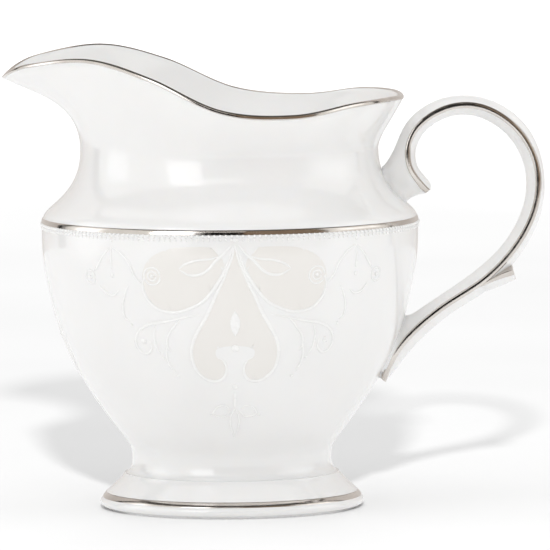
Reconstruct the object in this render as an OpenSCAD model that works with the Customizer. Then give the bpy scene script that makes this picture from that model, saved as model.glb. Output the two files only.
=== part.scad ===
// Footed cream jug in glazed bone china with platinum lines.
// Millimetres, +Z up, origin at the centre of the foot's rest ring on the table.
// +X points to the handle, -X to the spout, and XZ is the plane of symmetry.

/* [Foot] */
// Largest radius of the foot
foot_r = 31.9; // [30.5:0.1:33.5]
// Inner radius of the flat ring that the jug rests on
rest_inner_r = 28.4; // [27:0.2:29.2]
// Height of the joint between foot and bowl
foot_top_z = 8.6; // [8:0.1:9]

/* [Bowl] */
// Largest radius of the bowl, just under the shoulder
bowl_r = 45.5; // [44.5:0.1:47]
// Height of the underside of the shoulder band
shoulder_z = 69.4; // [68.6:0.1:70]
// Height of the shoulder band
band_h = 1.1; // [0.9:0.1:1.5]
// Height of the inside bottom of the bowl
floor_z = 12.6; // [12:0.1:14]

/* [Neck and spout] */
// Radius of the neck where it is narrowest
neck_r = 36; // [34:0.2:38]
// Height of the narrowest ring of the neck
neck_z = 86.8; // [85.6:0.2:88]
// Radius of the rim away from the spout
rim_r = 41.7; // [40:0.1:42]
// How much wider than that the rim is at each side
rim_swell = 3; // [0:0.5:4]
// How far the spout's lip reaches beyond that radius
spout_reach = 12.6; // [8:0.2:15]
// Angle over which the spout opens, on each side
spout_spread = 36; // [30:1:40]
// Wall of the neck at its narrowest ring
neck_wall = 2.4; // [2:0.1:3]
// Wall at the lip
lip_wall = 1.6; // [1.4:0.1:2]

/* [Handle] */
// Width of the raised rib along each side face
rib_w = 1.4; // [1:0.1:1.6]
// Height of that rib above the face
rib_h = 0.45; // [0.3:0.05:0.6]
// Clearance where the handle is luted to the body
lute_gap = 0.05; // [0.03:0.01:0.1]

/* [Decoration] */
// Number of beads in the row under the shoulder band, each with a stroke below it
bead_count = 210; // [120:10:230]
// Diameter of one bead
bead_d = 0.65; // [0.5:0.05:0.65]
// Height that beads and jewels stand proud of the glaze
enamel_h = 0.3; // [0.2:0.05:0.5]

/* [Hidden] */

china = "whitesmoke";
platinum = "silver";
enamel = "seashell";
around = 72;
shoulder_top = shoulder_z + band_h;
neck_base_r = bowl_r - 0.3;
band_seat_r = bowl_r - 1.0;
bead_z = shoulder_z - 0.34;
stroke_z = shoulder_z - 1.15;
rest_outer_r = foot_r - 1.7;
foot_band_z = [2.9, 4.05];
foot_band_r = [foot_r - 0.6, foot_r - 1.35];
band_depth = 0.7;
stroke_length = 0.9;
cap_h = 0.8;
spout_sharpness = 2.35;

// Heights of the lip every 22.5 degrees, from the handle round to the spout
rim_heights = [99.8, 100.1, 99.6, 97.6, 99.0, 106.5, 110.6, 108.8, 105];

// Outline of the bowl's outside, from the foot joint up to the shoulder, as [radius, height]
bowl_outside = [
    [25.4, foot_top_z], [24.4, 10.2], [24.15, 12.8], [24.9, 15.6], [28.2, 20], [31.7, 25],
    [35.5, 30.8], [39.3, 38.1], [42, 45.3], [44.2, 55], [bowl_r - 0.2, 62.3], [bowl_r, shoulder_z]
];
// Outline of the bowl's inside, from the neck joint down to the middle of its bottom
bowl_inside = [
    [42.6, shoulder_top], [42.6, 67], [42.3, 60], [41, 52], [38.6, 44], [35, 36], [30.5, 28.5],
    [25.5, 21.8], [20.5, 16.8], [14, 13.8], [6, floor_z], [0, floor_z]
];
// Outline of the foot above its platinum band, and of the hollow under it
foot_flare = [[foot_band_r[1] - 0.1, foot_band_z[1]], [28.7, 5.6], [26.9, 7.4], [26.0, foot_top_z]];
foot_hollow = [[19.5, foot_top_z], [22.2, 6], [25.6, 2.6], [rest_inner_r, 0]];

// Stations along the handle, from the tip of the upper curl to the lower end. Each holds
// the side ridge, the outer edge and the inner edge as x, z pairs, then half the thickness.
handle_stations = [
    [48.0, 76.3, 47.4, 75.7, 48.6, 76.7, 1.5],
    [47.0, 77.2, 45.2, 75.3, 48.5, 78.2, 2.6],
    [45.3, 79.4, 43.0, 74.3, 47.2, 79.9, 3.4],
    [43.9, 81.7, 39.4, 73.8, 45.8, 81.6, 3.9],
    [43.2, 84.5, 35.6, 82.2, 45.0, 83.9, 4.1],
    [43.5, 88.4, 39.7, 85.9, 45.3, 87.4, 4.1],
    [46.4, 93.1, 43.3, 93.9, 48.0, 91.5, 4.1],
    [53.4, 97.0, 52.1, 99.2, 53.8, 94.5, 4.1],
    [61.9, 96.8, 63.0, 98.6, 60.6, 94.2, 4.1],
    [70.2, 91.1, 72.1, 92.0, 67.5, 89.6, 4.1],
    [74.6, 82.1, 76.0, 81.8, 71.5, 81.8, 4.1],
    [73.9, 72.1, 75.3, 70.7, 71.1, 72.5, 4.1],
    [69.1, 62.8, 70.3, 60.8, 66.2, 63.4, 4.0],
    [61.3, 54.7, 62.6, 52.3, 58.6, 56.4, 3.8],
    [51.6, 48.7, 53.1, 46.6, 49.8, 50.4, 3.8],
    [42.7, 41.1, 44.2, 38.6, 40.2, 43.6, 3.9],
    [38.4, 34.6, 39.8, 32.9, 35.6, 35.4, 3.6],
    [36.9, 30.6, 37.3, 30.2, 35.3, 31.7, 2.0]
];
// The same for the spur, from inside the arm to its blunt tip: ridge, upper edge, lower edge
spur_stations = [
    [60.6, 53.6, 62.0, 55.4, 59.6, 51.2, 3.2],
    [62.9, 54.9, 64.4, 57.2, 62.3, 52.1, 3.3],
    [65.7, 56.3, 66.6, 58.4, 65.7, 53.3, 3.2],
    [68.3, 57.2, 68.2, 58.3, 69.1, 54.8, 2.8]
];
// Enamel jewels of one ornament, as degrees from its middle, height and diameter
front_jewels = [
    [0, 42, 2.0], [0, 32.4, 1.4], [-25.9, 59.4, 2.2], [25.9, 59.4, 2.2],
    [-31.4, 43.4, 1.8], [31.4, 43.4, 1.8], [-49.5, 58.5, 1.8], [49.5, 58.5, 1.8]
];
spout_jewels = [[0, 42, 2.0], [0, 32.4, 1.4]];
// Directions of the large ornaments, in degrees from +X
front_ornament = -86.5;
back_ornament = 86.5;
spout_ornament = 180;

function mix(a, b, t) = a + (b - a) * t;
function unit(v) = v / norm(v);
function turn_left(v) = [-v[1], v[0]];
function ends_held(list, i) = list[min(max(i, 0), len(list) - 1)];

// A point on the smooth curve through a list of points, between point i and point i + 1
function curve_at(list, i, t) =
    let (a = ends_held(list, i - 1), b = list[i], c = ends_held(list, i + 1), d = ends_held(list, i + 2))
    b + 0.5 * t * ((c - a) + t * ((2 * a - 5 * b + 4 * c - d) + t * (3 * b - a - 3 * c + d)));
function smooth(list, steps) = concat(
    [for (i = [0 : len(list) - 2], k = [0 : steps - 1]) curve_at(list, i, k / steps)],
    [list[len(list) - 1]]
);
function bezier(p, t) =
    pow(1 - t, 3) * p[0] + 3 * t * pow(1 - t, 2) * p[1] + 3 * t * t * (1 - t) * p[2] + t * t * t * p[3];
function bezier_way(p, t) = unit(
    pow(1 - t, 2) * (p[1] - p[0]) + 2 * t * (1 - t) * (p[2] - p[1]) + t * t * (p[3] - p[2])
);

// Lip of the jug: a is the angle from the handle, 180 at the spout
function from_spout(a) = abs((a % 360) - 180);
function spout_share(a) = exp(-pow(from_spout(a) / spout_spread, spout_sharpness));
function lip_radius(a) = rim_r + spout_reach * spout_share(a) + rim_swell * pow(sin(a), 2);
function lip_height(a) =
    let (s = (180 - from_spout(a)) / 22.5, i = min(floor(s), 7), padded = concat([rim_heights[1]],
        rim_heights, [rim_heights[7]]))
    curve_at(padded, i + 1, s - i);
function lip_rise(a) = mix(0.43, 0.2, spout_share(a)) * (lip_height(a) - neck_z);
function lip_lean(a) = mix(3, 7.5, spout_share(a));
function lip_way(a) = unit([lip_lean(a), lip_rise(a)]);
function lip_edge(a) =
    [lip_radius(a), lip_height(a)] - cap_h * lip_way(a) - 0.5 * lip_wall * turn_left(lip_way(a));

// The neck's outside at angle a: a concave sweep up from the shoulder, then the flare to the lip
shoulder_sweep = [
    [neck_base_r, shoulder_top], [neck_base_r - 0.3, shoulder_top + 2.8],
    [neck_r, neck_z - 10.8], [neck_r, neck_z]
];
function flare(a) =
    let (top = lip_edge(a), reach = norm([lip_lean(a), lip_rise(a)]))
    [
        [neck_r, neck_z],
        [neck_r, neck_z + mix(0.2, 0.635, spout_share(a)) * (lip_height(a) - neck_z)],
        top - reach * lip_way(a),
        top
    ];
function wall_line(p, wall_from, wall_to, steps, first) = [
    for (k = [first : steps]) let (t = k / steps, wall = mix(wall_from, wall_to, t))
        bezier(p, t) + wall * turn_left(bezier_way(p, t))
];
function reversed(list) = [for (i = [len(list) - 1 : -1 : 0]) list[i]];
function neck_section(a) = concat(
    wall_line(shoulder_sweep, 0, 0, 8, 0),
    wall_line(flare(a), 0, 0, 10, 1),
    reversed(wall_line(flare(a), neck_wall, lip_wall, 10, 1)),
    reversed(wall_line(shoulder_sweep, neck_wall, neck_wall, 8, 1)),
    [[42.6, shoulder_top]]
);
function lip_section(a) =
    let (way = lip_way(a), across = turn_left(way), foot = lip_edge(a))
    [for (k = [0 : 8])
        foot + 0.5 * lip_wall * (1 - cos(22.5 * k)) * across + cap_h * sin(22.5 * k) * way];
function stood_up(section, a) = [for (p = section) [p[0] * cos(a), p[0] * sin(a), p[1]]];

// A closed ring whose sections are closed loops with the same number of points
module ring_of(sections) {
    n = len(sections);
    m = len(sections[0]);
    polyhedron(
        points = [for (s = sections, p = s) p],
        faces = [
            for (i = [0 : n - 1], j = [0 : m - 1], half = [0, 1])
                let (a = i * m, b = ((i + 1) % n) * m, k = (j + 1) % m)
                half == 0 ? [a + j, b + j, b + k] : [a + j, b + k, a + k]
        ]
    );
}

// A solid bar through closed loops, with flat ends
module bar_of(sections) {
    n = len(sections);
    m = len(sections[0]);
    polyhedron(
        points = [for (s = sections, p = s) p],
        faces = concat(
            [
                for (i = [0 : n - 2], j = [0 : m - 1], half = [0, 1])
                    let (a = i * m, b = (i + 1) * m, k = (j + 1) % m)
                    half == 0 ? [a + j, b + k, b + j] : [a + j, a + k, b + k]
            ],
            [[for (j = [m - 1 : -1 : 0]) j]],
            [[for (j = [0 : m - 1]) (n - 1) * m + j]]
        )
    );
}

// Half a handle section, on one side of the plane of symmetry: outer edge, face, ridge, face,
// inner edge. The faces are slightly rounded and the ridge has a flat for the rib.
face_round = 1.5;
face_steps = 4;
function in_plane(p, y) = [p[0], y, p[1]];
function face_points(edge, ridge, y) = [
    for (k = [0 : face_steps]) let (f = 90 * k / face_steps)
        in_plane(ridge + (edge - ridge) * pow(cos(f), face_round), y * pow(sin(f), face_round))
];
function ridge_of(s) = [s[0], s[1]];
function outer_of(s) = [s[2], s[3]];
function inner_of(s) = [s[4], s[5]];
function rib_edge(s, edge, w) = ridge_of(s) + 0.5 * w * unit(edge - ridge_of(s));
function half_section(s, side, w) = concat(
    face_points(outer_of(s), rib_edge(s, outer_of(s), w), side * s[6]),
    reversed(face_points(inner_of(s), rib_edge(s, inner_of(s), w), side * s[6]))
);
function inside_of(list) = [for (i = [1 : len(list) - 2]) list[i]];
function bar_section(s, w) = concat(half_section(s, 1, w), reversed(inside_of(half_section(s, -1, w))));
function rib_section(s, side, w) =
    let (a = rib_edge(s, outer_of(s), w), b = rib_edge(s, inner_of(s), w), y = s[6] + 0.02)
    [for (k = [0 : 4]) in_plane(mix(a, b, (1 - cos(45 * k)) / 2), side * (y + rib_h * sin(45 * k)))];

handle_path = smooth(handle_stations, 4);
spur_path = smooth(spur_stations, 3);
spur_rib_w = 1.5;

module handle_bar() {
    bar_of([for (s = handle_path) bar_section(s, rib_w)]);
}
module spur_bar() {
    bar_of([for (s = spur_path) bar_section(s, spur_rib_w)]);
}

// Everything inside the outer skin of bowl and neck, grown by a small gap
module body_space(gap) {
    outline = concat(smooth(bowl_outside, 3), wall_line(shoulder_sweep, 0, 0, 8, 0));
    rotate_extrude($fn = 144)
        polygon(concat([[0, foot_top_z]], [for (p = outline) [p[0] + gap, p[1]]], [[0, neck_z]]));
}
module rib(side) {
    sections = [for (s = handle_path) rib_section(s, side, rib_w)];
    difference() {
        bar_of(side > 0 ? sections : [for (s = sections) reversed(s)]);
        body_space(lute_gap);
    }
}

// Corner of the platinum band's seat on the foot: i is 0 below and 1 above
function foot_corner(i, depth) = [foot_band_r[i] - depth, foot_band_z[i]];

module bowl() {
    color(china) rotate_extrude($fn = 144) polygon(concat(
        smooth(bowl_outside, 3),
        [[band_seat_r, shoulder_z], [band_seat_r, shoulder_top]],
        smooth(bowl_inside, 3),
        [[0, foot_top_z]]
    ));
}

module neck_and_spout() {
    color(china) ring_of([for (i = [0 : around - 1]) let (a = 360 * i / around) stood_up(neck_section(a), a)]);
}

module foot() {
    color(china) rotate_extrude($fn = 144) polygon(concat(
        [[rest_outer_r, 0], [foot_r - 1.2, 0.5], [foot_r - 0.35, 0.85], [foot_r, 1.5], [foot_r - 0.1, 2.2]],
        [foot_corner(0, 0), foot_corner(0, band_depth), foot_corner(1, band_depth)],
        smooth(foot_flare, 3),
        smooth(foot_hollow, 3)
    ));
}

module handle() {
    color(china) difference() {
        union() {
            handle_bar();
            spur_bar();
        }
        body_space(lute_gap);
    }
}

module rim_platinum_line() {
    color(platinum) ring_of([for (i = [0 : around - 1]) let (a = 360 * i / around) stood_up(lip_section(a), a)]);
}

module shoulder_platinum_band() {
    color(platinum) rotate_extrude($fn = 144) polygon([
        [band_seat_r, shoulder_z], [bowl_r, shoulder_z], [bowl_r + 0.2, shoulder_z + 0.3],
        [bowl_r + 0.1, shoulder_top - 0.3], [neck_base_r, shoulder_top], [band_seat_r, shoulder_top]
    ]);
}

module foot_platinum_band() {
    color(platinum) rotate_extrude($fn = 144) polygon([
        foot_corner(0, 0), 0.5 * (foot_corner(0, 0) + foot_corner(1, 0)) + [0.2, 0.1],
        foot_corner(1, 0), foot_corner(1, band_depth), foot_corner(0, band_depth)
    ]);
}

module handle_platinum_line_front() {
    color(platinum) rib(-1);
}

module handle_platinum_line_back() {
    color(platinum) rib(1);
}

// One strip on each side face of the spur, ending at its tip
module spur_platinum_tips() {
    color(platinum) difference() {
        for (side = [-1, 1]) {
            sections = [for (s = spur_path) rib_section(s, side, spur_rib_w)];
            bar_of(side > 0 ? sections : [for (s = sections) reversed(s)]);
        }
        handle_bar();
        for (side = [-1, 1])
            rib(side);
    }
}

// Flat-based decoration stands on the bowl's tangent plane at angle a and height z
function bowl_index(z) = [for (i = [0 : len(bowl_outside) - 2])
    if (z >= bowl_outside[i][1] && z < bowl_outside[i + 1][1]) i][0];
function bowl_place(z) =
    let (i = bowl_index(z), p = bowl_outside[i], q = bowl_outside[i + 1], t = (z - p[1]) / (q[1] - p[1]))
    curve_at(bowl_outside, i, t);
module on_bowl(a, z) {
    here = bowl_place(z);
    above = bowl_place(z + 0.3);
    lean = atan2(above[0] - here[0], above[1] - here[1]);
    rotate([0, 0, a])
        translate([here[0] + 0.03, 0, here[1]])
            rotate([0, 90 + lean, 0])
                children();
}

module bead_row() {
    color(enamel)
        for (i = [0 : bead_count - 1])
            on_bowl(360 * i / bead_count, bead_z)
                cylinder(h = enamel_h, d = bead_d, $fn = 24);
}

// Short upright strokes, one under each bead
module stroke_row() {
    color(enamel)
        for (i = [0 : bead_count - 1])
            on_bowl(360 * i / bead_count, stroke_z)
                translate([-0.5 * stroke_length, -0.3 * bead_d, 0])
                    cube([stroke_length, 0.6 * bead_d, 0.6 * enamel_h]);
}

module jewel_group(middle, jewels) {
    for (j = jewels)
        on_bowl(middle + j[0], j[1])
            cylinder(h = enamel_h, d = j[2], $fn = 24);
}

module enamel_jewels() {
    color(enamel) {
        jewel_group(front_ornament, front_jewels);
        jewel_group(back_ornament, front_jewels);
        jewel_group(spout_ornament, spout_jewels);
    }
}

bowl();
neck_and_spout();
foot();
handle();
rim_platinum_line();
shoulder_platinum_band();
foot_platinum_band();
handle_platinum_line_front();
handle_platinum_line_back();
spur_platinum_tips();
bead_row();
stroke_row();
enamel_jewels();
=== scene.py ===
"""Looks of a footed china cream jug with platinum lines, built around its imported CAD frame.

Shapes of the jug are worked out in millimetres in the part's own frame, and become metres as their
corners are made. +X points to the handle, -X to the spout, +Z up, and the jug stands on z = 0.
The stage, its lights and the camera are in metres.
"""

import math

import bmesh
import bpy
from mathutils import Matrix, Vector

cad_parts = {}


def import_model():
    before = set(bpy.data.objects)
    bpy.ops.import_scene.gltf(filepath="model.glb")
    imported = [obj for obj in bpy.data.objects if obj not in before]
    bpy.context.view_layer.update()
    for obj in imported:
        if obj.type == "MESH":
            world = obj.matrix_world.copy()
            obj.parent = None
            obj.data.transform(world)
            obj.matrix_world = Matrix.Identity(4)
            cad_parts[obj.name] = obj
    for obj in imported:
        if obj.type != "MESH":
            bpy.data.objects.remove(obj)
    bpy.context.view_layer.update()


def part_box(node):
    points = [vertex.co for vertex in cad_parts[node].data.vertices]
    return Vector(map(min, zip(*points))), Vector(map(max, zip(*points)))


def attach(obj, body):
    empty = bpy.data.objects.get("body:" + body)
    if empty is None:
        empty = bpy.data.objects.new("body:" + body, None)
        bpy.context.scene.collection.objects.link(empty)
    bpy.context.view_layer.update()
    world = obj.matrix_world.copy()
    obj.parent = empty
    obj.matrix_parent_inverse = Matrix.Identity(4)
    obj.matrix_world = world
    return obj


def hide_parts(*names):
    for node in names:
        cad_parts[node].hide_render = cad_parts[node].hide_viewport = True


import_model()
MM = 0.001


def turned_size(node):
    """Outer radius, lowest and highest point of a turned CAD node, in millimetres."""
    low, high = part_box(node)
    return round(high[0] / MM, 2), round(low[2] / MM, 2), round(high[2] / MM, 2)


# Steps that round shapes take round the axis
AROUND = 320

# ---------------------------------------------------------------- driving sizes, in millimetres
# These come from the frame
BOWL_R, FOOT_TOP_Z, SHOULDER_TOP = turned_size("bowl")
FOOT_R, _, _ = turned_size("foot")
_, SHOULDER_Z, _ = turned_size("shoulder_platinum_band")

# These repeat the part's sizes, but for the rib, which is slightly wider here
REST_INNER_R = 28.4
REST_OUTER_R = FOOT_R - 1.7
FLOOR_Z = 12.6
NECK_R = 36.0
NECK_Z = 86.8
NECK_BASE_R = BOWL_R - 0.3
NECK_WALL = 2.4
MOUTH_R = 42.6
RIM_R = 41.7
RIM_SWELL = 3.0
SPOUT_REACH = 12.6
SPOUT_SPREAD = 36.0
SPOUT_SHARPNESS = 2.35
LIP_WALL = 1.6
CAP_H = 0.8
FOOT_BAND = [(FOOT_R - 0.6, 2.9), (FOOT_R - 1.35, 4.05)]
RIB_W = 1.5
RIB_H = 0.45
RIB_SUNK = 0.3
FACE_ROUND = 1.5

# The platinum on the lip is RIM_LINE_THICK thick, and the china stays RIM_LINE_GAP under its face
RIM_LINE_THICK = 0.35
RIM_LINE_GAP = 0.05

# Height of the lip every RIM_STEP degrees, from the handle round to the spout
RIM_STEP = 22.5
RIM_HEIGHTS = [99.8, 100.1, 99.6, 97.6, 99.0, 106.5, 110.6, 108.8, 105.0]

# How the wall over the neck runs, away from the spout and at it: its lean at the lip, and the
# shares of its height that its curve takes from the lip down and from the neck up
LIP_LEAN = (3.0, 7.5)
LIP_RISE = (0.43, 0.2)
NECK_RISE = (0.2, 0.635)

BOWL_OUTSIDE = [
    (25.4, FOOT_TOP_Z), (24.4, 10.2), (24.15, 12.8), (24.9, 15.6), (28.2, 20), (31.7, 25),
    (35.5, 30.8), (39.3, 38.1), (42, 45.3), (44.2, 55), (BOWL_R - 0.2, 62.3), (BOWL_R, SHOULDER_Z),
]
BOWL_INSIDE = [
    (MOUTH_R, SHOULDER_TOP), (MOUTH_R, 67), (42.3, 60), (41, 52), (38.6, 44), (35, 36), (30.5, 28.5),
    (25.5, 21.8), (20.5, 16.8), (14, 13.8), (6, FLOOR_Z), (0, FLOOR_Z),
]
FOOT_FLARE = [(FOOT_BAND[1][0] - 0.1, FOOT_BAND[1][1]), (28.7, 5.6), (26.9, 7.4), (26.0, FOOT_TOP_Z)]
FOOT_HOLLOW = [(19.5, FOOT_TOP_Z), (22.2, 6), (25.6, 2.6), (REST_INNER_R, 0)]

# Handle from the tip of its upper curl to its lower end: ridge, outer edge and inner edge of the
# side face as x, z pairs, then half the thickness. One outer edge behind the curl lies lower than
# the part's, because merge_into_body() flares the handle out there.
HANDLE = [
    (48.0, 76.3, 47.4, 75.7, 48.6, 76.7, 1.5), (47.0, 77.2, 45.2, 75.3, 48.5, 78.2, 2.6),
    (45.3, 79.4, 43.0, 74.3, 47.2, 79.9, 3.4), (43.9, 81.7, 39.4, 73.8, 45.8, 81.6, 3.9),
    (43.2, 84.5, 36.2, 79.8, 45.0, 83.9, 4.1), (43.5, 88.4, 39.7, 85.9, 45.3, 87.4, 4.1),
    (46.4, 93.1, 43.3, 93.9, 48.0, 91.5, 4.1), (53.4, 97.0, 52.1, 99.2, 53.8, 94.5, 4.1),
    (61.9, 96.8, 63.0, 98.6, 60.6, 94.2, 4.1), (70.2, 91.1, 72.1, 92.0, 67.5, 89.6, 4.1),
    (74.6, 82.1, 76.0, 81.8, 71.5, 81.8, 4.1), (73.9, 72.1, 75.3, 70.7, 71.1, 72.5, 4.1),
    (69.1, 62.8, 70.3, 60.8, 66.2, 63.4, 4.0), (61.3, 54.7, 62.6, 52.3, 58.6, 56.4, 3.8),
    (51.6, 48.7, 53.1, 46.6, 49.8, 50.4, 3.8), (42.7, 41.1, 44.2, 38.6, 40.2, 43.6, 3.9),
    (38.4, 34.6, 39.8, 32.9, 35.6, 35.4, 3.6), (36.9, 30.6, 37.3, 30.2, 35.3, 31.7, 2.0),
]
# The same for the spur: ridge, upper edge, lower edge, half the thickness
SPUR = [
    (60.6, 53.6, 62.0, 55.4, 59.6, 51.2, 3.2), (62.9, 54.9, 64.4, 57.2, 62.3, 52.1, 3.3),
    (65.7, 56.3, 66.6, 58.4, 65.7, 53.3, 3.2), (68.3, 57.2, 68.2, 58.3, 69.1, 54.8, 2.8),
]
# Where the platinum on the spur starts above and below its ridge, in degrees of the face's rounding,
# at the spur's root and at its tip
FAN_ABOVE = (66.0, 18.0)
FAN_BELOW = (70.0, 52.0)

# Middles of the three ornaments on the bowl, in degrees from +X
FRONT, BACK, SPOUT_SIDE = -86.5, 86.5, 180.0


# ---------------------------------------------------------------- curves and meshes
def mix(a, b, t):
    return a + (b - a) * t


def between(p, q, r, s, t):
    """The value t of the way from q to r on a smooth curve through p, q, r and s."""
    return q + 0.5 * t * ((r - p) + t * ((2 * p - 5 * q + 4 * r - s) + t * (3 * q - p - 3 * r + s)))


def smooth(points, steps):
    """The points of a smooth curve through all of points, with steps pieces between two of them."""
    last = len(points) - 1
    out = []
    for i in range(last):
        four = [points[min(max(i + k, 0), last)] for k in (-1, 0, 1, 2)]
        for k in range(steps):
            out.append(tuple(between(*values, k / steps) for values in zip(*four)))
    return out + [tuple(points[last])]


def bezier(p, t):
    u = 1 - t
    weights = (u**3, 3 * t * u * u, 3 * t * t * u, t**3)
    return sum((weight * q for weight, q in zip(weights, p)), Vector((0, 0)))


def bezier_way(p, t):
    u = 1 - t
    way = u * u * (p[1] - p[0]) + 2 * t * u * (p[2] - p[1]) + t * t * (p[3] - p[2])
    return way.normalized()


def turn_left(v):
    return Vector((-v[1], v[0]))


def bridge(bm, rows, closed=True, loop=False):
    """Faces between neighbouring rows of corners. closed joins the two ends of each row, and loop
    the last row to the first."""
    for i in range(len(rows) if loop else len(rows) - 1):
        a, b = rows[i], rows[(i + 1) % len(rows)]
        for j in range(len(a) if closed else len(a) - 1):
            k = (j + 1) % len(a)
            bm.faces.new((a[j], a[k], b[k], b[j]))


def add_sections(bm, sections, loop=False, caps=True):
    """A skin through closed sections, which are lists of (x, y, z) in millimetres with equal lengths.
    loop joins the last to the first, caps fills the first and the last."""
    rows = [[bm.verts.new(Vector(p) * MM) for p in section] for section in sections]
    bridge(bm, rows, loop=loop)
    if caps:
        bm.faces.new(list(reversed(rows[0])))
        bm.faces.new(rows[-1])


def linked(name, data):
    thing = bpy.data.objects.new(name, data)
    bpy.context.scene.collection.objects.link(thing)
    return thing


def finished(name, bm, sharp=35.0):
    """Turns bm into a smooth-shaded object that keeps edges above sharp degrees crisp."""
    bmesh.ops.remove_doubles(bm, verts=bm.verts, dist=1e-7)
    bmesh.ops.dissolve_degenerate(bm, dist=1e-8, edges=bm.edges)
    bmesh.ops.recalc_face_normals(bm, faces=bm.faces)
    mesh = bpy.data.meshes.new(name)
    bm.to_mesh(mesh)
    bm.free()
    mesh.shade_smooth()
    mesh.set_sharp_from_angle(angle=math.radians(sharp))
    return linked(name, mesh)


def ring_solid(name, sections, sharp=35.0):
    """A solid through closed sections that stand all round the axis."""
    bm = bmesh.new()
    add_sections(bm, sections, loop=True, caps=False)
    return finished(name, bm, sharp)


def turned(name, outline, sharp=35.0):
    """A solid of revolution about Z from a closed outline of (radius, height)."""
    sections = []
    for i in range(AROUND):
        a = math.tau * i / AROUND
        sections.append([(r * math.cos(a), r * math.sin(a), z) for r, z in outline])
    return ring_solid(name, sections, sharp)


def piece(thing, material, slot, *nodes):
    """Gives thing its material and body, and hides the CAD nodes it stands for, if any. slot is not used.
    """
    thing.data.materials.clear()
    thing.data.materials.append(material)
    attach(thing, "root")
    if nodes:
        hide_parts(*nodes)


# ---------------------------------------------------------------- body
def spout_share(a):
    """1 in the direction of the spout, falling to 0 away from it."""
    away = abs((a % 360) - 180)
    return math.exp(-((away / SPOUT_SPREAD) ** SPOUT_SHARPNESS))


def lip_radius(a):
    return RIM_R + SPOUT_REACH * spout_share(a) + RIM_SWELL * math.sin(math.radians(a)) ** 2


def lip_height(a):
    mirrored = [RIM_HEIGHTS[1]] + RIM_HEIGHTS + [RIM_HEIGHTS[-2]]
    place_on_rim = (180 - abs((a % 360) - 180)) / RIM_STEP
    i = min(int(place_on_rim), len(RIM_HEIGHTS) - 2)
    return between(*mirrored[i:i + 4], place_on_rim - i)


def lip_frame(a):
    """(way the wall runs at the lip, reach of its curve there, its outer edge under the cap)"""
    lean = mix(*LIP_LEAN, spout_share(a))
    rise = mix(*LIP_RISE, spout_share(a)) * (lip_height(a) - NECK_Z)
    way = Vector((lean, rise))
    reach = way.length
    way.normalize()
    edge = Vector((lip_radius(a), lip_height(a))) - CAP_H * way - 0.5 * LIP_WALL * turn_left(way)
    return way, reach, edge


# Outside of the neck from the shoulder to its narrowest place, as a curve's four points
SWEEP = [
    Vector((NECK_BASE_R, SHOULDER_TOP)), Vector((NECK_BASE_R - 0.3, SHOULDER_TOP + 2.8)),
    Vector((NECK_R, NECK_Z - 10.8)), Vector((NECK_R, NECK_Z)),
]


def flare(a):
    """The same from the narrowest place to the lip, in direction a."""
    way, reach, edge = lip_frame(a)
    lift = mix(*NECK_RISE, spout_share(a)) * (lip_height(a) - NECK_Z)
    return [Vector((NECK_R, NECK_Z)), Vector((NECK_R, NECK_Z + lift)), edge - reach * way, edge]


def wall_line(p, wall_from, wall_to, steps, first):
    """Points from step first on along curve p, moved inwards by a wall that grows from wall_from to
    wall_to."""
    out = []
    for k in range(first, steps + 1):
        t = k / steps
        out.append(bezier(p, t) + mix(wall_from, wall_to, t) * turn_left(bezier_way(p, t)))
    return out


def lip_bead(a):
    """Corners of the lip's rounded bead: outer foot, upright outer face, crown and inner foot."""
    way, _, edge = lip_frame(a)
    top = Vector((lip_radius(a), lip_height(a)))
    inner = edge + LIP_WALL * turn_left(way)
    lift = 0.12 + 0.36 * spout_share(a)
    return [
        edge + (lift - 0.1) * way, Vector((top[0] + 0.5, edge[1] - 0.06 + lift)),
        Vector((top[0] + 0.56, edge[1] + 0.3 + 0.4 * lift)),
        top + Vector((0.46, -0.26)), top + Vector((0.06, 0.0)), top + Vector((-0.45, -0.06)), inner,
    ]


def let_in(points, a, depth):
    """Points of the bead moved by depth towards the middle of the wall under it."""
    way, _, edge = lip_frame(a)
    middle = edge + 0.5 * LIP_WALL * turn_left(way)
    return [p + depth * (middle - p).normalized() for p in points]


def neck_section(a, steps_up=20, steps_out=28):
    """The china of neck and lip: up the outside, over the bead and down the inside."""
    bead = [Vector(p) for p in smooth(lip_bead(a), 3)]
    return (
        wall_line(SWEEP, 0, 0, steps_up, 0) + wall_line(flare(a), 0, 0, steps_out, 1)[:-2]
        + let_in(bead, a, RIM_LINE_GAP)
        + wall_line(flare(a), NECK_WALL, LIP_WALL, steps_out, 1)[-2::-1]
        + wall_line(SWEEP, NECK_WALL, NECK_WALL, steps_up, 1)[::-1] + [Vector((MOUTH_R, SHOULDER_TOP))]
    )


def rim_section(a):
    """Platinum over the bead's outer face and crown, with its inner side let into the china."""
    line = [Vector(p) for p in smooth(lip_bead(a), 5)[:-2]]
    return line + let_in(line, a, RIM_LINE_THICK)[::-1]


def all_round(name, section, sharp):
    """A ring through section(a) of (radius, height) points in every direction a, in degrees."""
    sections = []
    for i in range(AROUND):
        a = 360.0 * i / AROUND
        c, s = math.cos(math.radians(a)), math.sin(math.radians(a))
        sections.append([(p[0] * c, p[0] * s, p[1]) for p in section(a)])
    return ring_solid(name, sections, sharp)


def outline_radius(outline, z):
    """Radius at height z of an outline of (radius, height) that runs upwards."""
    for (r0, z0), (r1, z1) in zip(outline, outline[1:]):
        if z0 <= z <= z1:
            return mix(r0, r1, (z - z0) / (z1 - z0))
    return outline[0][0] if z < outline[0][1] else outline[-1][0]


BOWL_LINE = smooth(BOWL_OUTSIDE, 8)
NECK_LINE = [tuple(p) for p in wall_line(SWEEP, 0, 0, 24, 0) + wall_line(flare(0), 0, 0, 24, 1)]


def body_radius(z):
    return outline_radius(BOWL_LINE if z < SHOULDER_TOP else NECK_LINE, z)


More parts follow.
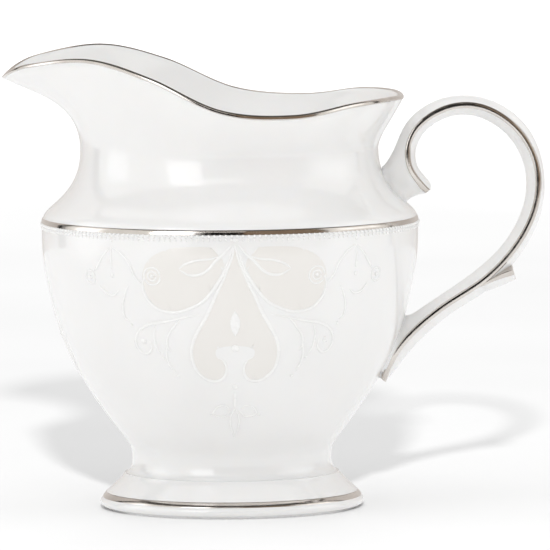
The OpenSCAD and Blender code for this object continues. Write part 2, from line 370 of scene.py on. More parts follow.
def bowl():
    step = [(BOWL_R - 1.0, SHOULDER_Z), (BOWL_R - 1.0, SHOULDER_TOP)]
    return turned("bowl_china", BOWL_LINE + step + smooth(BOWL_INSIDE, 6) + [(0, FOOT_TOP_Z)])


def foot():
    edge = smooth([
        (REST_OUTER_R, 0), (FOOT_R - 1.3, 0.42), (FOOT_R - 0.4, 0.8), (FOOT_R, 1.5),
        (FOOT_R - 0.1, 2.2), FOOT_BAND[0],
    ], 6)
    seat = [(FOOT_BAND[0][0] - 0.3, FOOT_BAND[0][1] + 0.05), (FOOT_BAND[1][0] - 0.3, FOOT_BAND[1][1])]
    hollow = smooth(FOOT_HOLLOW, 8)
    return turned("foot_china", edge + seat + smooth(FOOT_FLARE, 8) + hollow)


def band(name, low, height, tilt_low, tilt_high, inset, ease=2.2, steps=14):
    """A platinum ring whose face starts at low and leans in from tilt_low to tilt_high degrees, and
    that goes inset into the china."""
    face = [low]
    for k in range(steps):
        t = (k + 0.5) / steps
        tilt = math.radians(mix(tilt_low, tilt_high, t**ease))
        r, z = face[-1]
        face.append((r - height / steps * math.tan(tilt), z + height / steps))
    back = [(face[-1][0] - inset, face[-1][1]), (low[0] - inset, low[1])]
    return turned(name, face + back, sharp=60)


# ---------------------------------------------------------------- handle
def face_line(ridge, edge, y, steps, start=0.0):
    """Points over a side face, from start degrees of its rounding, which are 0 at its edge, to its
    ridge at 90."""
    out = []
    for k in range(steps + 1):
        f = math.radians(mix(start, 90.0, k / steps))
        p = ridge + (edge - ridge) * math.cos(f) ** FACE_ROUND
        out.append((p[0], y * math.sin(f) ** FACE_ROUND, p[1]))
    return out


def station(s):
    """(ridge, outer edge, inner edge, half the thickness) of one row of HANDLE or SPUR"""
    return Vector(s[0:2]), Vector(s[2:4]), Vector(s[4:6]), s[6]


def bar_section(s, steps=10):
    """The closed outline across the handle, whose two side faces are rounded up to their ridges."""
    ridge, outer, inner, t = station(s)
    loop = []
    for side in (1, -1):
        half = face_line(ridge, outer, side * t, steps) + face_line(ridge, inner, side * t, steps)[-2::-1]
        loop += half if side == 1 else half[-2:0:-1]
    return loop


def eased(points, passes):
    """Points with small bumps averaged out, both ends held."""
    for _ in range(passes):
        inner = []
        for three in zip(points, points[1:], points[2:]):
            inner.append(tuple((a + 2 * b + c) / 4 for a, b, c in zip(*three)))
        points = [points[0]] + inner + [points[-1]]
    return points


HANDLE_PATH = eased(smooth(HANDLE, 8), 10)
SPUR_PATH = smooth(SPUR, 8)

# Radius of the fillet between body and handle, and the smaller one under LOW_FILLET_Z
FILLET = 2.2
LOW_FILLET = 0.5
LOW_FILLET_Z = 33.0


def merge_into_body(thing, sink=0.9, gain=1.5):
    """Flares the handle out where it meets the body, as slip fills the joint, and ends it sink inside
    the wall. gain brings faces that are not quite square to the wall to the full flare."""
    bm = bmesh.new()
    bm.from_mesh(thing.data)
    bm.normal_update()
    for v in bm.verts:
        x, y, z = (c / MM for c in v.co)
        r = math.hypot(x, y)
        gap = r - body_radius(z)
        radius = LOW_FILLET if z < LOW_FILLET_Z else FILLET
        if gap < radius:
            out = Vector((x / r, y / r, 0))
            side = v.normal - out * v.normal.dot(out)
            if side.length > 1e-4:
                g = max(gap, 0.0)
                flare_out = radius - math.sqrt(radius * radius - (radius - g) ** 2)
                v.co += side.normalized() * flare_out * MM * min(1.0, side.length * gain)
        x, y, z = (c / MM for c in v.co)
        r = math.hypot(x, y)
        lowest = body_radius(z) - sink
        if r < lowest:
            v.co.x *= lowest / r
            v.co.y *= lowest / r
    bm.normal_update()
    bm.to_mesh(thing.data)
    bm.free()


def bars(name, *all_sections):
    """One object of solids that each run through closed sections from one end to the other."""
    bm = bmesh.new()
    for sections in all_sections:
        add_sections(bm, sections)
    return finished(name, bm)


def handle():
    arm = [bar_section(s) for s in HANDLE_PATH]
    spur = [bar_section(s) for s in SPUR_PATH]
    thing = bars("handle_casting", arm, spur)
    merge_into_body(thing)
    return thing


def rib_section(s, side, points=10, flatness=5):
    """The outline across the platinum rib: upright sides, and a top that is flat in its middle."""
    ridge, outer, inner, t = station(s)
    way = (outer - inner).normalized()
    out = []
    for k in range(points + 1):
        f = math.pi * k / points
        p = ridge + 0.5 * RIB_W * math.cos(f) * way
        bulge = 1 - abs(math.cos(f)) ** flatness
        out.append((p[0], side * (t - RIB_SUNK + (RIB_H + RIB_SUNK) * bulge), p[1]))
    return out


def rib(name, side):
    return bars(name, [rib_section(s, side) for s in HANDLE_PATH[1:]])


def fan_section(s, side, wide, proud=0.14, thick=0.5, steps=8):
    """The outline across the platinum on a side of the spur, a narrow strip on its ridge where wide
    is 0 and most of its face where wide is 1."""
    ridge, upper, lower, t = station(s)
    above = face_line(ridge, upper, t + proud, steps, mix(*FAN_ABOVE, wide))
    below = face_line(ridge, lower, t + proud, steps, mix(*FAN_BELOW, wide))
    loop = above + below[-2::-1]
    under = [(p[0], p[1] - thick, p[2]) for p in reversed(loop)]
    return [(x, side * y, z) for x, y, z in loop + under]


def fan(side, growth=1.3):
    n = len(SPUR_PATH) - 1
    return [fan_section(s, side, (i / n) ** growth) for i, s in enumerate(SPUR_PATH)]


# ---------------------------------------------------------------- raised enamel on the bowl
# Depth that enamel lines and drops go into the glaze, and that the flat pads do
SUNK = 0.04
PAD_SUNK = 0.06


def on_bowl(a, z, lift=0.0, reach=0.2):
    """(point on the bowl's outside at angle a and height z, lifted along the normal; that normal).
    The normal is taken from the outline reach below and above z."""
    r0, r1 = outline_radius(BOWL_LINE, z - reach), outline_radius(BOWL_LINE, z + reach)
    r = outline_radius(BOWL_LINE, z)
    c, s = math.cos(math.radians(a)), math.sin(math.radians(a))
    normal = Vector((2 * reach * c, 2 * reach * s, r0 - r1)).normalized()
    return Vector((r * c, r * s, z)) + lift * normal, normal


def trail(path, width, height, points=6, taper=0.25, tip=0.18):
    """Sections of a half-round enamel line along path, a list of (angle, height) on the bowl. Over
    the share taper of its length it thins out to the share tip of its size at both ends."""
    places = [on_bowl(a, z) for a, z in path]
    sections = []
    n = len(places) - 1
    for i, (p, normal) in enumerate(places):
        along = (places[min(i + 1, n)][0] - places[max(i - 1, 0)][0]).normalized()
        side = normal.cross(along).normalized()
        end = min(i, n - i) / max(1.0, taper * n)
        size = min(1.0, tip + (1 - tip) * math.sqrt(min(1.0, end)))
        loop = []
        for k in range(points + 1):
            f = math.pi * k / points
            over, up = 0.5 * width * size * math.cos(f), height * size * math.sin(f) - SUNK
            loop.append(p + side * over + normal * up)
        sections.append([tuple(q) for q in loop])
    return sections


def add_dome(bm, a, z, d, h, around=16, rings=5):
    """A drop of enamel on the bowl: a closed dome of diameter d and height h."""
    p, normal = on_bowl(a, z)
    side = normal.orthogonal().normalized()
    up = normal.cross(side)
    rows = []
    for j in range(rings):
        f = 0.5 * math.pi * j / rings
        r, lift = 0.5 * d * math.cos(f), h * math.sin(f) - SUNK
        row = []
        for i in range(around):
            t = math.tau * i / around
            corner = p + side * r * math.cos(t) + up * r * math.sin(t) + normal * lift
            row.append(bm.verts.new(corner * MM))
        rows.append(row)
    bridge(bm, rows)
    top = bm.verts.new((p + normal * (h - SUNK)) * MM)
    for i in range(around):
        bm.faces.new((rows[-1][i], rows[-1][(i + 1) % around], top))
    bm.faces.new(list(reversed(rows[0])))


def add_ring(bm, a, z, d, width=0.5, height=0.2, around=24):
    """A raised enamel ring of diameter d on the bowl."""
    r = outline_radius(BOWL_LINE, z)
    path = []
    for k in range(around + 1):
        t = math.tau * k / around
        path.append((a + math.degrees(0.5 * d * math.cos(t) / r), z + 0.5 * d * math.sin(t)))
    add_sections(bm, trail(path, width, height, taper=0.0001))


# The right half of the large ornament, as (degrees from its middle, height) on the bowl, starts
# here. Its raised lines come first, each with its width in LINES.
DROP = [
    (0, 67.1), (1.0, 63.8), (3.4, 59.0), (6.2, 54.6), (8.9, 50.2), (11.8, 46.6), (14.2, 43.2),
    (14.9, 39.9), (13.8, 36.6), (10.6, 34.4), (7.0, 33.8), (4.2, 34.6), (3.0, 36.6), (3.9, 38.9),
    (6.0, 39.7),
]
LOW_SWAG = [
    (0.6, 66.6), (2.1, 63.0), (3.9, 59.6), (6.7, 56.3), (10.0, 53.5), (14.0, 51.8), (19.0, 50.7),
    (24.4, 51.3), (28.0, 53.6), (29.4, 56.6), (28.6, 59.6),
]
HIGH_SWAG = [
    (1.0, 67.0), (3.2, 65.0), (5.8, 63.2), (8.2, 61.1), (11.0, 59.9), (14.2, 59.9), (17.2, 61.2),
]
LEAF = [(4.4, 64.4), (7.6, 63.7), (11.8, 63.3), (15.2, 62.4), (17.2, 61.2)]
LOW_SCROLL = [
    (11.0, 50.3), (17.0, 49.4), (22.9, 48.4), (28.6, 47.6), (32.6, 46.0), (34.6, 43.4), (33.6, 41.0),
    (30.9, 40.4), (28.9, 41.8), (29.0, 43.6),
]
PETAL = [(0, 27.0), (1.7, 24.9), (1.8, 22.4), (0, 19.2)]
SIDE_PETAL = [
    (1.6, 26.4), (4.2, 27.6), (7.4, 27.2), (9.2, 25.6), (6.4, 24.8), (3.8, 25.0), (1.6, 26.4),
]
LINES = [
    (DROP, 0.85), (LOW_SWAG, 0.8), (HIGH_SWAG, 0.75), (LEAF, 0.6), (LOW_SCROLL, 0.75),
    ([(17.7, 49.0), (20.0, 47.2), (22.4, 44.8), (23.0, 42.4), (21.8, 41.0)], 0.65),
    ([(22.6, 43.6), (23.8, 40.6), (23.4, 37.8), (21.8, 35.8)], 0.6),
    ([(26.0, 47.7), (27.2, 45.2), (27.0, 42.2), (25.8, 40.2)], 0.6),
    ([(29.4, 57.2), (31.8, 59.2), (33.6, 62.2), (36.4, 64.6), (40.1, 66.2)], 0.7),
    ([(40.1, 66.2), (43.4, 63.8), (46.0, 61.2), (47.4, 60.0)], 0.65),
    ([(40.1, 66.2), (40.3, 63.2), (40.1, 60.6)], 0.6),
    ([(34.4, 57.0), (36.2, 54.6), (37.6, 51.6), (37.2, 49.0), (35.6, 48.4)], 0.6),
    ([(45.9, 56.8), (43.6, 54.8), (40.6, 54.4), (38.4, 55.6)], 0.6),
    ([(0.1, 30.9), (0.1, 29.0), (0.1, 27.2)], 0.6),
    (PETAL, 0.5), (SIDE_PETAL, 0.5),
]
LINE_HEIGHT = 0.24
# A raised pad on the middle line
MARQUISE = [(0, 51.4), (1.2, 49.8), (1.7, 48.1), (1.2, 46.4), (0, 44.8)]
# Places of the three jewels at the side, heights of the two on the middle line, and the diameter
# and height of each
INNER_JEWEL, LOW_JEWEL, OUTER_JEWEL = (25.9, 59.4), (31.4, 43.4), (49.5, 58.5)
HIGH_MIDDLE_JEWEL, LOW_MIDDLE_JEWEL = 42.0, 32.4
SIDE_JEWEL_SIZE, HIGH_MIDDLE_SIZE, LOW_MIDDLE_SIZE = (1.0, 0.5), (1.3, 0.48), (1.0, 0.44)
# Drops of enamel, each with its diameter and how proud it stands, and rings with their diameter
DROPS = [
    (*LOW_JEWEL, 1.5, 0.34), (40.1, 67.6, 0.9, 0.24), (40.2, 59.2, 1.1, 0.28), (35.2, 47.3, 0.9, 0.24),
    (20.9, 34.9, 0.8, 0.22), (25.2, 39.4, 0.8, 0.22), (10.4, 25.2, 0.7, 0.22),
]
MIDDLE_DROPS = [(HIGH_MIDDLE_JEWEL, 1.9, 0.34), (LOW_MIDDLE_JEWEL, 1.4, 0.32), (68.2, 1.0, 0.26)]
RINGED = [(*INNER_JEWEL, 4.2), (*INNER_JEWEL, 2.2), (*OUTER_JEWEL, 3.2)]
# Coloured ground: the half of the drop in the middle, and the whole panel beside it
DROP_GROUND = [
    (0, 66.4), (1.0, 63.6), (3.3, 59.0), (6.1, 54.6), (8.8, 50.2), (11.7, 46.6), (14.1, 43.2),
    (14.7, 39.9), (13.6, 36.8), (10.5, 34.6), (7.0, 34.0), (4.3, 34.8), (3.2, 36.6), (4.0, 39.0),
    (6.2, 39.8), (6.4, 41.6), (3.6, 42.4), (0, 42.6),
]
SIDE_GROUND = [
    (2.9, 62.9), (4.4, 59.9), (7.0, 56.7), (10.2, 53.8), (14.2, 52.1), (19.0, 51.0), (24.2, 51.6),
    (27.6, 53.9), (28.9, 56.7), (29.2, 59.6), (27.6, 62.6), (24.2, 64.8), (19.0, 66.2), (12.8, 66.6),
    (7.0, 66.4), (3.4, 65.4),
]
# How far from its middle the small ornament under the spout may go, in degrees
SMALL_LIMIT = 16
# Heights of the pad and of the coloured ground
MARQUISE_HEIGHT = 0.16
GROUND_HEIGHT = 0.05

# The rows under the shoulder band: number in each, and place and size of a bead and of a stroke,
# which goes down by STROKE_STEP five times
ROW_COUNT = 210
BEAD_Z = SHOULDER_Z - 0.3
BEAD_D, BEAD_H = 0.78, 0.5
STROKE_TOP_Z = SHOULDER_Z - 0.78
STROKE_W, STROKE_H, STROKE_STEP = 0.55, 0.3, 0.16


def ground_mesh(outline, step=2.5):
    """(corners, faces, outer edges, corners on them) of a closed (degrees, height) outline, cut every
    step so that it can follow the bowl."""
    bm = bmesh.new()
    face = bm.faces.new([bm.verts.new((s, z, 0)) for s, z in outline])
    bmesh.ops.triangulate(bm, faces=[face])
    for axis in (0, 1):
        low = min(p[axis] for p in outline)
        high = max(p[axis] for p in outline)
        way = Vector((1, 0, 0)) if axis == 0 else Vector((0, 1, 0))
        for k in range(1, int((high - low) / step) + 1):
            parts = bm.verts[:] + bm.edges[:] + bm.faces[:]
            bmesh.ops.bisect_plane(bm, geom=parts, plane_co=way * (low + k * step), plane_no=way)
    bm.verts.index_update()
    corners = [(v.co.x, v.co.y) for v in bm.verts]
    faces = [[v.index for v in f.verts] for f in bm.faces]
    rim = [[v.index for v in e.verts] for e in bm.edges if len(e.link_faces) == 1]
    edge = {i for pair in rim for i in pair}
    bm.free()
    return corners, faces, rim, edge


def add_pad(bm, shape, middle, mirror, height):
    """A closed skin over shape (from ground_mesh) that stands height proud and thins out to the
    bowl's surface at its edge."""
    corners, faces, rim, edge = shape
    top, under = [], []
    for i, (s, z) in enumerate(corners):
        lift = 0.0 if i in edge else height
        top.append(bm.verts.new(on_bowl(middle + mirror * s, z, lift)[0] * MM))
        under.append(bm.verts.new(on_bowl(middle + mirror * s, z, -PAD_SUNK)[0] * MM))
    for f in faces:
        bm.faces.new([top[i] for i in f])
        bm.faces.new([under[i] for i in reversed(f)])
    for a, b in rim:
        bm.faces.new((top[a], top[b], under[b], under[a]))


def whole_outline(half, steps):
    """A closed outline from its right half, which starts and ends on the middle line."""
    right = smooth(half, steps)
    return right + [(-s, z) for s, z in right[-2:0:-1]]


def closed_outline(points, steps):
    """A smooth closed outline through points."""
    loop = smooth(points[-2:] + points + points[:2], steps)
    return loop[2 * steps:-3 * steps]


MARQUISE_SHAPE = ground_mesh(whole_outline(MARQUISE, 5), 0.8)


def ornament(bm, middle, limit=90):
    """The raised lines, drops, rings and pad round middle, with nothing further than limit degrees."""
    for mirror in (1, -1):
        for line, width in LINES:
            if max(p[0] for p in line) > limit:
                continue
            path = [(middle + mirror * s, z) for s, z in smooth(line, 7)]
            add_sections(bm, trail(path, width, LINE_HEIGHT))
        for s, z, d, h in DROPS:
            if s < limit:
                add_dome(bm, middle + mirror * s, z, d, h)
        for s, z, d in RINGED:
            if s < limit:
                add_ring(bm, middle + mirror * s, z, d)
    add_pad(bm, MARQUISE_SHAPE, middle, 1, MARQUISE_HEIGHT)
    for z, d, h in MIDDLE_DROPS:
        add_dome(bm, middle, z, d, h)


def scrollwork():
    bm = bmesh.new()
    ornament(bm, FRONT)
    ornament(bm, BACK)
    ornament(bm, SPOUT_SIDE, SMALL_LIMIT)
    return finished("enamel_scrollwork", bm, sharp=50)


def blush_panels():
    bm = bmesh.new()
    drop = ground_mesh(whole_outline(DROP_GROUND, 4))
    side = ground_mesh(closed_outline(SIDE_GROUND, 4))
    for middle in (FRONT, BACK):
        add_pad(bm, drop, middle, 1, GROUND_HEIGHT)
        for mirror in (1, -1):
            add_pad(bm, side, middle, mirror, GROUND_HEIGHT)
    add_pad(bm, drop, SPOUT_SIDE, 1, GROUND_HEIGHT)
    return finished("blush_panels", bm, sharp=70)


def bead_row():
    bm = bmesh.new()
    for i in range(ROW_COUNT):
        add_dome(bm, 360 * i / ROW_COUNT, BEAD_Z, BEAD_D, BEAD_H, around=12, rings=4)
    return finished("beads", bm, sharp=60)


def stroke_row():
    bm = bmesh.new()
    for i in range(ROW_COUNT):
        a = 360 * i / ROW_COUNT
        path = [(a, STROKE_TOP_Z - STROKE_STEP * k) for k in range(6)]
        add_sections(bm, trail(path, STROKE_W, STROKE_H, points=5))
    return finished("strokes", bm, sharp=60)


def jewels():
    """Cores of the main drops, a little higher than the scrollwork."""
    bm = bmesh.new()
    for middle in (FRONT, BACK):
        for s, z in (INNER_JEWEL, LOW_JEWEL, OUTER_JEWEL):
            for mirror in (1, -1):
                add_dome(bm, middle + mirror * s, z, *SIDE_JEWEL_SIZE)
    for middle in (FRONT, BACK, SPOUT_SIDE):
        add_dome(bm, middle, HIGH_MIDDLE_JEWEL, *HIGH_MIDDLE_SIZE)
        add_dome(bm, middle, LOW_MIDDLE_JEWEL, *LOW_MIDDLE_SIZE)
    return finished("jewels", bm, sharp=60)


# ---------------------------------------------------------------- materials
def new_material(name):
    mat = bpy.data.materials.new(name)
    mat.use_nodes = True
    tree = mat.node_tree
    return mat, tree, tree.nodes["Principled BSDF"]


def noise(tree, scale, detail=2.0, rough=0.5, stretch=None):
    coords = tree.nodes.new("ShaderNodeTexCoord")
    tex = tree.nodes.new("ShaderNodeTexNoise")
    tex.inputs["Scale"].default_value = scale
    tex.inputs["Detail"].default_value = detail
    tex.inputs["Roughness"].default_value = rough
    if stretch:
        mapping = tree.nodes.new("ShaderNodeMapping")
        mapping.inputs["Scale"].default_value = stretch
        tree.links.new(coords.outputs["Object"], mapping.inputs["Vector"])
        tree.links.new(mapping.outputs["Vector"], tex.inputs["Vector"])
    else:
        tree.links.new(coords.outputs["Object"], tex.inputs["Vector"])
    return tex.outputs["Fac"]


def ramp(tree, fac, low, high):
    """A colour that goes from low to high over the middle of the noise's range."""
    node = tree.nodes.new("ShaderNodeValToRGB")
    node.color_ramp.elements[0].position = 0.35
    node.color_ramp.elements[0].color = (*low, 1)
    node.color_ramp.elements[1].position = 0.65
    node.color_ramp.elements[1].color = (*high, 1)
    tree.links.new(fac, node.inputs["Fac"])
    return node.outputs["Color"]


def spread(tree, fac, low, high):
    """A value that goes from low to high over the middle of the noise's range."""
    node = tree.nodes.new("ShaderNodeMapRange")
    node.inputs["From Min"].default_value = 0.3
    node.inputs["From Max"].default_value = 0.7
    node.inputs["To Min"].default_value = low
    node.inputs["To Max"].default_value = high
    tree.links.new(fac, node.inputs["Value"])
    return node.outputs["Result"]


def bump(tree, height, distance, before=None):
    """The normal of waves that are distance high, in metres, on top of the normal before."""
    node = tree.nodes.new("ShaderNodeBump")
    node.inputs["Distance"].default_value = distance
    node.inputs["Strength"].default_value = 1.0
    tree.links.new(height, node.inputs["Height"])
    if before:
        tree.links.new(before, node.inputs["Normal"])
    return node.outputs["Normal"]


def glazed(name, low, high, rough=(0.3, 0.42), coat=1.0, coat_rough=0.02, scatter=0.0, wave=7e-5):
    """Fired ceramic under a clear glaze: faint clouding in the body and slow waves in the glaze."""
    mat, tree, shader = new_material(name)
    cloud = noise(tree, 38.0, 3.0)
    tree.links.new(ramp(tree, cloud, low, high), shader.inputs["Base Color"])
    tree.links.new(spread(tree, noise(tree, 240.0, 2.0), *rough), shader.inputs["Roughness"])
    slow = bump(tree, noise(tree, 30.0, 1.0), wave)
    fine = bump(tree, noise(tree, 900.0, 1.0), 3.5e-6, before=slow)
    tree.links.new(slow, shader.inputs["Coat Normal"])
    tree.links.new(fine, shader.inputs["Normal"])
    shader.inputs["Coat Weight"].default_value = coat
    shader.inputs["Coat Roughness"].default_value = coat_rough
    shader.inputs["Coat IOR"].default_value = 1.52
    shader.inputs["Specular IOR Level"].default_value = 0.35
    if scatter:
        shader.inputs["Subsurface Weight"].default_value = scatter
        shader.inputs["Subsurface Radius"].default_value = (1.0, 0.8, 0.6)
        shader.inputs["Subsurface Scale"].default_value = 0.0015
    return mat


def lustre(name, low, high):
    """Fired platinum lustre: mirror-like, a little warm, with faint brush marks and rubbed spots."""
    mat, tree, shader = new_material(name)
    shader.inputs["Metallic"].default_value = 1.0
    tree.links.new(ramp(tree, noise(tree, 90.0, 3.0), low, high), shader.inputs["Base Color"])
    tree.links.new(spread(tree, noise(tree, 420.0, 3.0, 0.6), 0.07, 0.2), shader.inputs["Roughness"])
    brushed = bump(tree, noise(tree, 500.0, 2.0, 0.5, (1.0, 1.0, 6.0)), 6e-6)
    tree.links.new(bump(tree, noise(tree, 60.0, 1.0), 4e-5, before=brushed), shader.inputs["Normal"])
    return mat


china = glazed("china_glaze", (0.85, 0.845, 0.835), (0.872, 0.868, 0.86), scatter=0.12)
enamel = glazed(
    "white_enamel", (0.875, 0.87, 0.86), (0.905, 0.9, 0.89), (0.2, 0.34), coat=0.6, coat_rough=0.06,
    wave=3e-5,
)
blush = glazed(
    "blush_ground", (0.81, 0.787, 0.753), (0.829, 0.808, 0.777), (0.3, 0.45), coat=0.8,
    coat_rough=0.05,
)
platinum = lustre("platinum_lustre", (0.6, 0.56, 0.52), (0.74, 0.7, 0.66))

# ---------------------------------------------------------------- pieces
piece(bowl(), china, "china", "bowl")
piece(all_round("neck_china", neck_section, sharp=50), china, "china", "neck_and_spout")
piece(foot(), china, "china", "foot")
piece(handle(), china, "china", "handle")
piece(all_round("rim_line", rim_section, sharp=70), platinum, "platinum", "rim_platinum_line")
shoulder = band(
    "shoulder_band", (BOWL_R + 0.08, SHOULDER_Z - 0.05), SHOULDER_TOP - SHOULDER_Z + 0.12,
    tilt_low=2, tilt_high=42, inset=0.8,
)
piece(shoulder, platinum, "platinum", "shoulder_platinum_band")
foot_band = band(
    "foot_band", (FOOT_BAND[0][0] + 0.1, FOOT_BAND[0][1] - 0.1), 1.35,
    tilt_low=4, tilt_high=60, inset=0.4, ease=0.45,
)
piece(foot_band, platinum, "platinum", "foot_platinum_band")
piece(rib("handle_line_front", -1), platinum, "platinum", "handle_platinum_line_front")
piece(rib("handle_line_back", 1), platinum, "platinum", "handle_platinum_line_back")
piece(bars("spur_patches", fan(1), fan(-1)), platinum, "platinum", "spur_platinum_tips")
piece(bead_row(), enamel, "enamel", "bead_row")
piece(stroke_row(), enamel, "enamel", "stroke_row")
piece(jewels(), enamel, "enamel", "enamel_jewels")
piece(scrollwork(), enamel, "enamel")
piece(blush_panels(), blush, "blush")


# ---------------------------------------------------------------- stage, light and camera, in metres
FLOOR_R = 4.0
PANEL_R = 0.62
ROOM_TOP = 0.6
JUG_MIDDLE = Vector((0, 0, 0.06))
# The camera looks at a point a little to the right of the jug's axis, and is rolled slightly
CAMERA_HEIGHT = 0.255
CAMERA_DISTANCE = 2.42
CAMERA_AZIMUTH = 2.1
CAMERA_ROLL = -0.46
AIM_RIGHT, AIM_HEIGHT = 0.0108, 0.0561


def disc(name, radii, height, around):
    """A flat disc of rings with the given radii."""
    bm = bmesh.new()
    turns = [math.tau * i / around for i in range(around)]
    rows = []
    for r in radii:
        rows.append([bm.verts.new((r * math.cos(t), r * math.sin(t), height)) for t in turns])
    bm.faces.new(rows[0])
    bridge(bm, rows)
    return finished(name, bm)


def floor(rings=8):
    """White paper, with rings that get closer towards the jug."""
    thing = disc("floor", [FLOOR_R * (j / rings) ** 2 for j in range(1, rings + 1)], 0, 96)
    mat, tree, shader = new_material("white_paper")
    white = ramp(tree, noise(tree, 6.0, 2.0), (0.61, 0.61, 0.61), (0.63, 0.63, 0.63))
    tree.links.new(white, shader.inputs["Base Color"])
    shader.inputs["Roughness"].default_value = 0.9
    shader.inputs["Specular IOR Level"].default_value = 0.0
    thing.data.materials.append(mat)
    return thing


def place(distance, azimuth, elevation):
    """A point seen from the origin: azimuth 0 is towards -Y and positive to the right, in degrees."""
    a, e = math.radians(azimuth), math.radians(elevation)
    return distance * Vector((math.sin(a) * math.cos(e), -math.cos(a) * math.cos(e), math.sin(e)))


def aimed(thing, where, target):
    thing.location = where
    thing.rotation_euler = (target - where).to_track_quat("-Z", "Y").to_euler()


def softbox(name, where, size, power):
    """A soft light from the side, aimed at the middle of the jug, that shows in no reflection."""
    light = bpy.data.lights.new(name, "AREA")
    light.shape = "RECTANGLE"
    light.size, light.size_y = size
    light.energy = power
    thing = linked(name, light)
    aimed(thing, where, JUG_MIDDLE)
    thing.visible_glossy = False


def world(horizon=0.875, zenith=1.66):
    """An even pale room, a little brighter overhead."""
    w = bpy.data.worlds.new("studio")
    bpy.context.scene.world = w
    w.use_nodes = True
    tree = w.node_tree
    tree.nodes.clear()
    out = tree.nodes.new("ShaderNodeOutputWorld")
    back = tree.nodes.new("ShaderNodeBackground")
    coords = tree.nodes.new("ShaderNodeTexCoord")
    split = tree.nodes.new("ShaderNodeSeparateXYZ")
    tree.links.new(coords.outputs["Generated"], split.inputs["Vector"])
    level = tree.nodes.new("ShaderNodeMapRange")
    level.inputs["To Min"].default_value = horizon
    level.inputs["To Max"].default_value = zenith
    tree.links.new(split.outputs["Z"], level.inputs["Value"])
    tree.links.new(level.outputs["Result"], back.inputs["Strength"])
    tree.links.new(back.outputs["Background"], out.inputs["Surface"])


def floor_lamp(name, where, power, size):
    """A lamp that lights only the floor."""
    light = bpy.data.lights.new(name, "POINT")
    light.energy = power
    light.shadow_soft_size = size
    thing = linked(name, light)
    thing.location = where
    thing.light_linking.receiver_collection = FLOOR_ONLY


def glow(name, sector, heights, tone, radius=PANEL_R, edge=0.0, up=6, width=4):
    """A curved studio panel round the jug that only shows in reflections. sector is its span of
    azimuth in degrees, heights its lowest and highest edge, tone its light, and edge how far it
    fades. It has up faces one over another, each about width degrees wide."""
    bm = bmesh.new()
    across = max(2, int((sector[1] - sector[0]) / width))
    rows = []
    for j in range(up + 1):
        row = []
        for i in range(across + 1):
            a = math.radians(mix(*sector, i / across))
            corner = (radius * math.sin(a), -radius * math.cos(a), mix(*heights, j / up))
            row.append(bm.verts.new(corner))
        rows.append(row)
    bridge(bm, rows, closed=False)
    glow_only(finished(name, bm), tone, sector, heights, edge)


def glow_only(card, tone, sector=None, heights=None, edge=0.0, dim=0.92):
    """Makes card shine in tones from dim times tone to tone, seen only in reflections, and fades its
    edges if edge is over 0."""
    mat = bpy.data.materials.new(card.name)
    mat.use_nodes = True
    tree = mat.node_tree
    tree.nodes.clear()
    out = tree.nodes.new("ShaderNodeOutputMaterial")
    light = tree.nodes.new("ShaderNodeEmission")
    low = tuple(c * dim for c in tone)
    tree.links.new(ramp(tree, noise(tree, 4.0), low, tone), light.inputs["Color"])
    if edge:
        clear = tree.nodes.new("ShaderNodeBsdfTransparent")
        blend = tree.nodes.new("ShaderNodeMixShader")
        tree.links.new(faded(tree, sector, heights, edge), blend.inputs["Fac"])
        tree.links.new(clear.outputs["BSDF"], blend.inputs[1])
        tree.links.new(light.outputs["Emission"], blend.inputs[2])
        tree.links.new(blend.outputs["Shader"], out.inputs["Surface"])
    else:
        tree.links.new(light.outputs["Emission"], out.inputs["Surface"])
    mat.cycles.emission_sampling = "NONE"
    card.data.materials.append(mat)
    card.visible_camera = False
    card.visible_diffuse = False
    card.visible_shadow = False
    card.visible_transmission = False
    card.visible_volume_scatter = False


def maths(tree, operation, a, b=None):
    """The result of a Math node on a and b, each a number or a socket."""
    node = tree.nodes.new("ShaderNodeMath")
    node.operation = operation
    for socket, value in zip(node.inputs, (a, b)):
        if value is None:
            continue
        if isinstance(value, (int, float)):
            socket.default_value = value
        else:
            tree.links.new(value, socket)
    return node.outputs["Value"]


def faded(tree, sector, heights, edge):
    """1 in the middle of a glow panel, falling to 0 over edge of its half width and half height."""
    coords = tree.nodes.new("ShaderNodeTexCoord")
    split = tree.nodes.new("ShaderNodeSeparateXYZ")
    tree.links.new(coords.outputs["Object"], split.inputs["Vector"])
    towards_camera = maths(tree, "MULTIPLY", split.outputs["Y"], -1.0)
    turn = maths(tree, "ARCTAN2", split.outputs["X"], towards_camera)
    out = None
    for value, (low, high) in ((turn, map(math.radians, sector)), (split.outputs["Z"], heights)):
        half = 0.5 * (high - low)
        away = maths(tree, "ABSOLUTE", maths(tree, "SUBTRACT", value, low + half))
        part = tree.nodes.new("ShaderNodeMapRange")
        part.interpolation_type = "SMOOTHSTEP"
        part.inputs["From Min"].default_value = half
        part.inputs["From Max"].default_value = half * (1 - edge)
        tree.links.new(away, part.inputs["Value"])
        if out is None:
            out = part.outputs["Result"]
        else:
            out = maths(tree, "MULTIPLY", out, part.outputs["Result"])
    return out


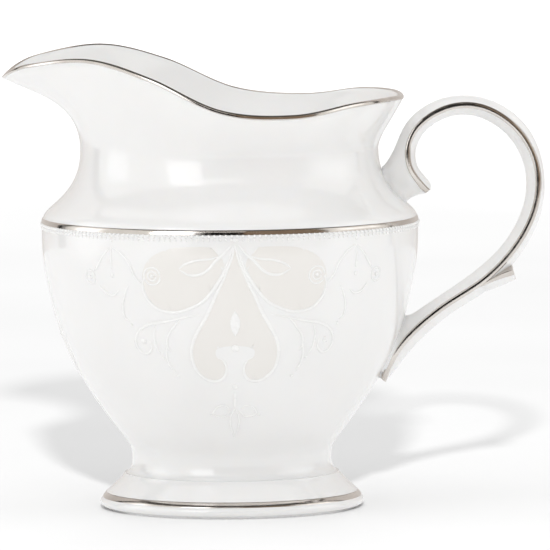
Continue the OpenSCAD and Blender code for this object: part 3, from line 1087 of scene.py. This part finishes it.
def add_camera():
    data = bpy.data.cameras.new("camera")
    data.lens = 657.0
    data.sensor_width = 36.0
    data.clip_start = 0.1
    data.clip_end = 30.0
    thing = linked("camera", data)
    bpy.context.scene.camera = thing
    stand = place(CAMERA_DISTANCE, CAMERA_AZIMUTH, 0) + Vector((0, 0, CAMERA_HEIGHT))
    to_right = place(1.0, CAMERA_AZIMUTH + 90, 0)
    aimed(thing, stand, AIM_RIGHT * to_right + Vector((0, 0, AIM_HEIGHT)))
    roll = Matrix.Rotation(math.radians(CAMERA_ROLL), 3, "Z")
    thing.rotation_euler = (thing.rotation_euler.to_matrix() @ roll).to_euler()


ground = floor()
FLOOR_ONLY = bpy.data.collections.new("floor_only")
FLOOR_ONLY.objects.link(ground)
world()

# The first throws the jug's soft shadow back over the floor, the second brightens the far floor.
floor_lamp("shadow_lamp", place(3.0, 2.7, 21.2), 410, 0.07)
floor_lamp("far_floor_lamp", Vector((0, 1.9, 0.8)), 30, 0.3)

softbox("left_fill", place(1.3, -62, 24), (0.9, 0.8), 1.2)
softbox("right_fill", place(1.3, 74, 8), (0.8, 0.6), 0.8)

# The walls of the room, as the jug's glaze and platinum mirror them, and over them the brighter
# strip, window and lamps
glow("side_left", (-115, -22), (0, ROOM_TOP), (1.0, 0.99, 0.96))
glow("side_right", (62, 113), (0, ROOM_TOP), (1.0, 0.98, 0.95))
glow("camera_dark", (-22, 10), (0, ROOM_TOP), (0.015, 0.015, 0.015))
glow("camera_low", (4, 12), (0, 0.032), (0.03, 0.027, 0.025), radius=0.38)
glow("room_beige", (10, 60), (0, ROOM_TOP), (0.27, 0.2, 0.14))
glow("gap_right", (60, 62), (0, ROOM_TOP), (0.03, 0.03, 0.03))
glow("stand_right", (113, 119), (0, ROOM_TOP), (0.02, 0.02, 0.02))
glow("stand_left", (-125, -115), (0, ROOM_TOP), (0.02, 0.02, 0.02))
glow("back_room", (119, 235), (0, ROOM_TOP), (0.72, 0.68, 0.65))
glow("front_strip", (-24, 12), (0.37, 0.5), (1.5, 1.45, 1.4), radius=0.61)
glow("window", (-46, -19), (0.07, 0.56), (3.0, 3.0, 3.05), radius=0.61)
glow("lamp_left", (-104, -74), (0.0, 0.24), (2.1, 2.1, 2.15), radius=0.3, edge=0.6)
glow("lamp_right", (66, 108), (0.06, 0.4), (1.7, 1.7, 1.7), radius=0.61, edge=0.5)
glow_only(disc("ceiling", [PANEL_R * j / 4 for j in range(1, 5)], ROOM_TOP, 48), (0.1, 0.095, 0.09))

add_camera()
bpy.context.scene.view_settings.view_transform = "Standard"
